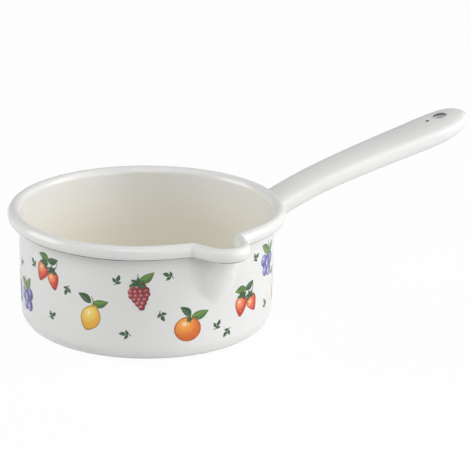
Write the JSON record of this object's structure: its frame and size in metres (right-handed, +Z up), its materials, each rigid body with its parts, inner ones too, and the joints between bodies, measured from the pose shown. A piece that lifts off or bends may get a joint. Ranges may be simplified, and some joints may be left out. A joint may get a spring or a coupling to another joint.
{
  "type": "saucepan",
  "caption": "Low enamelled steel milk pan with a rolled rim, a pouring lip and a long hollow welded handle that rises from the wall and ends in a hanging hole.",
  "frame": {"origin": "middle of the flat base, on the surface the pan stands on", "axes": "+Z up along the pan's axis, +X along the handle towards its tip, -Y towards the pouring lip"},
  "size_m": [0.346, 0.1934, 0.1009],
  "materials": {
    "white_enamel": "glossy white vitreous enamel on steel",
    "cream_enamel": "glossy cream vitreous enamel"
  },
  "bodies": {
    "root": {"pan_body": "white_enamel", "cream_lining": "cream_enamel", "handle_upper_shell": "white_enamel", "handle_lower_shell": "white_enamel", "handle_seam_weld": "white_enamel", "handle_root_weld": "white_enamel", "hanging_eyelet": "white_enamel"}
  },
  "joints": []
}
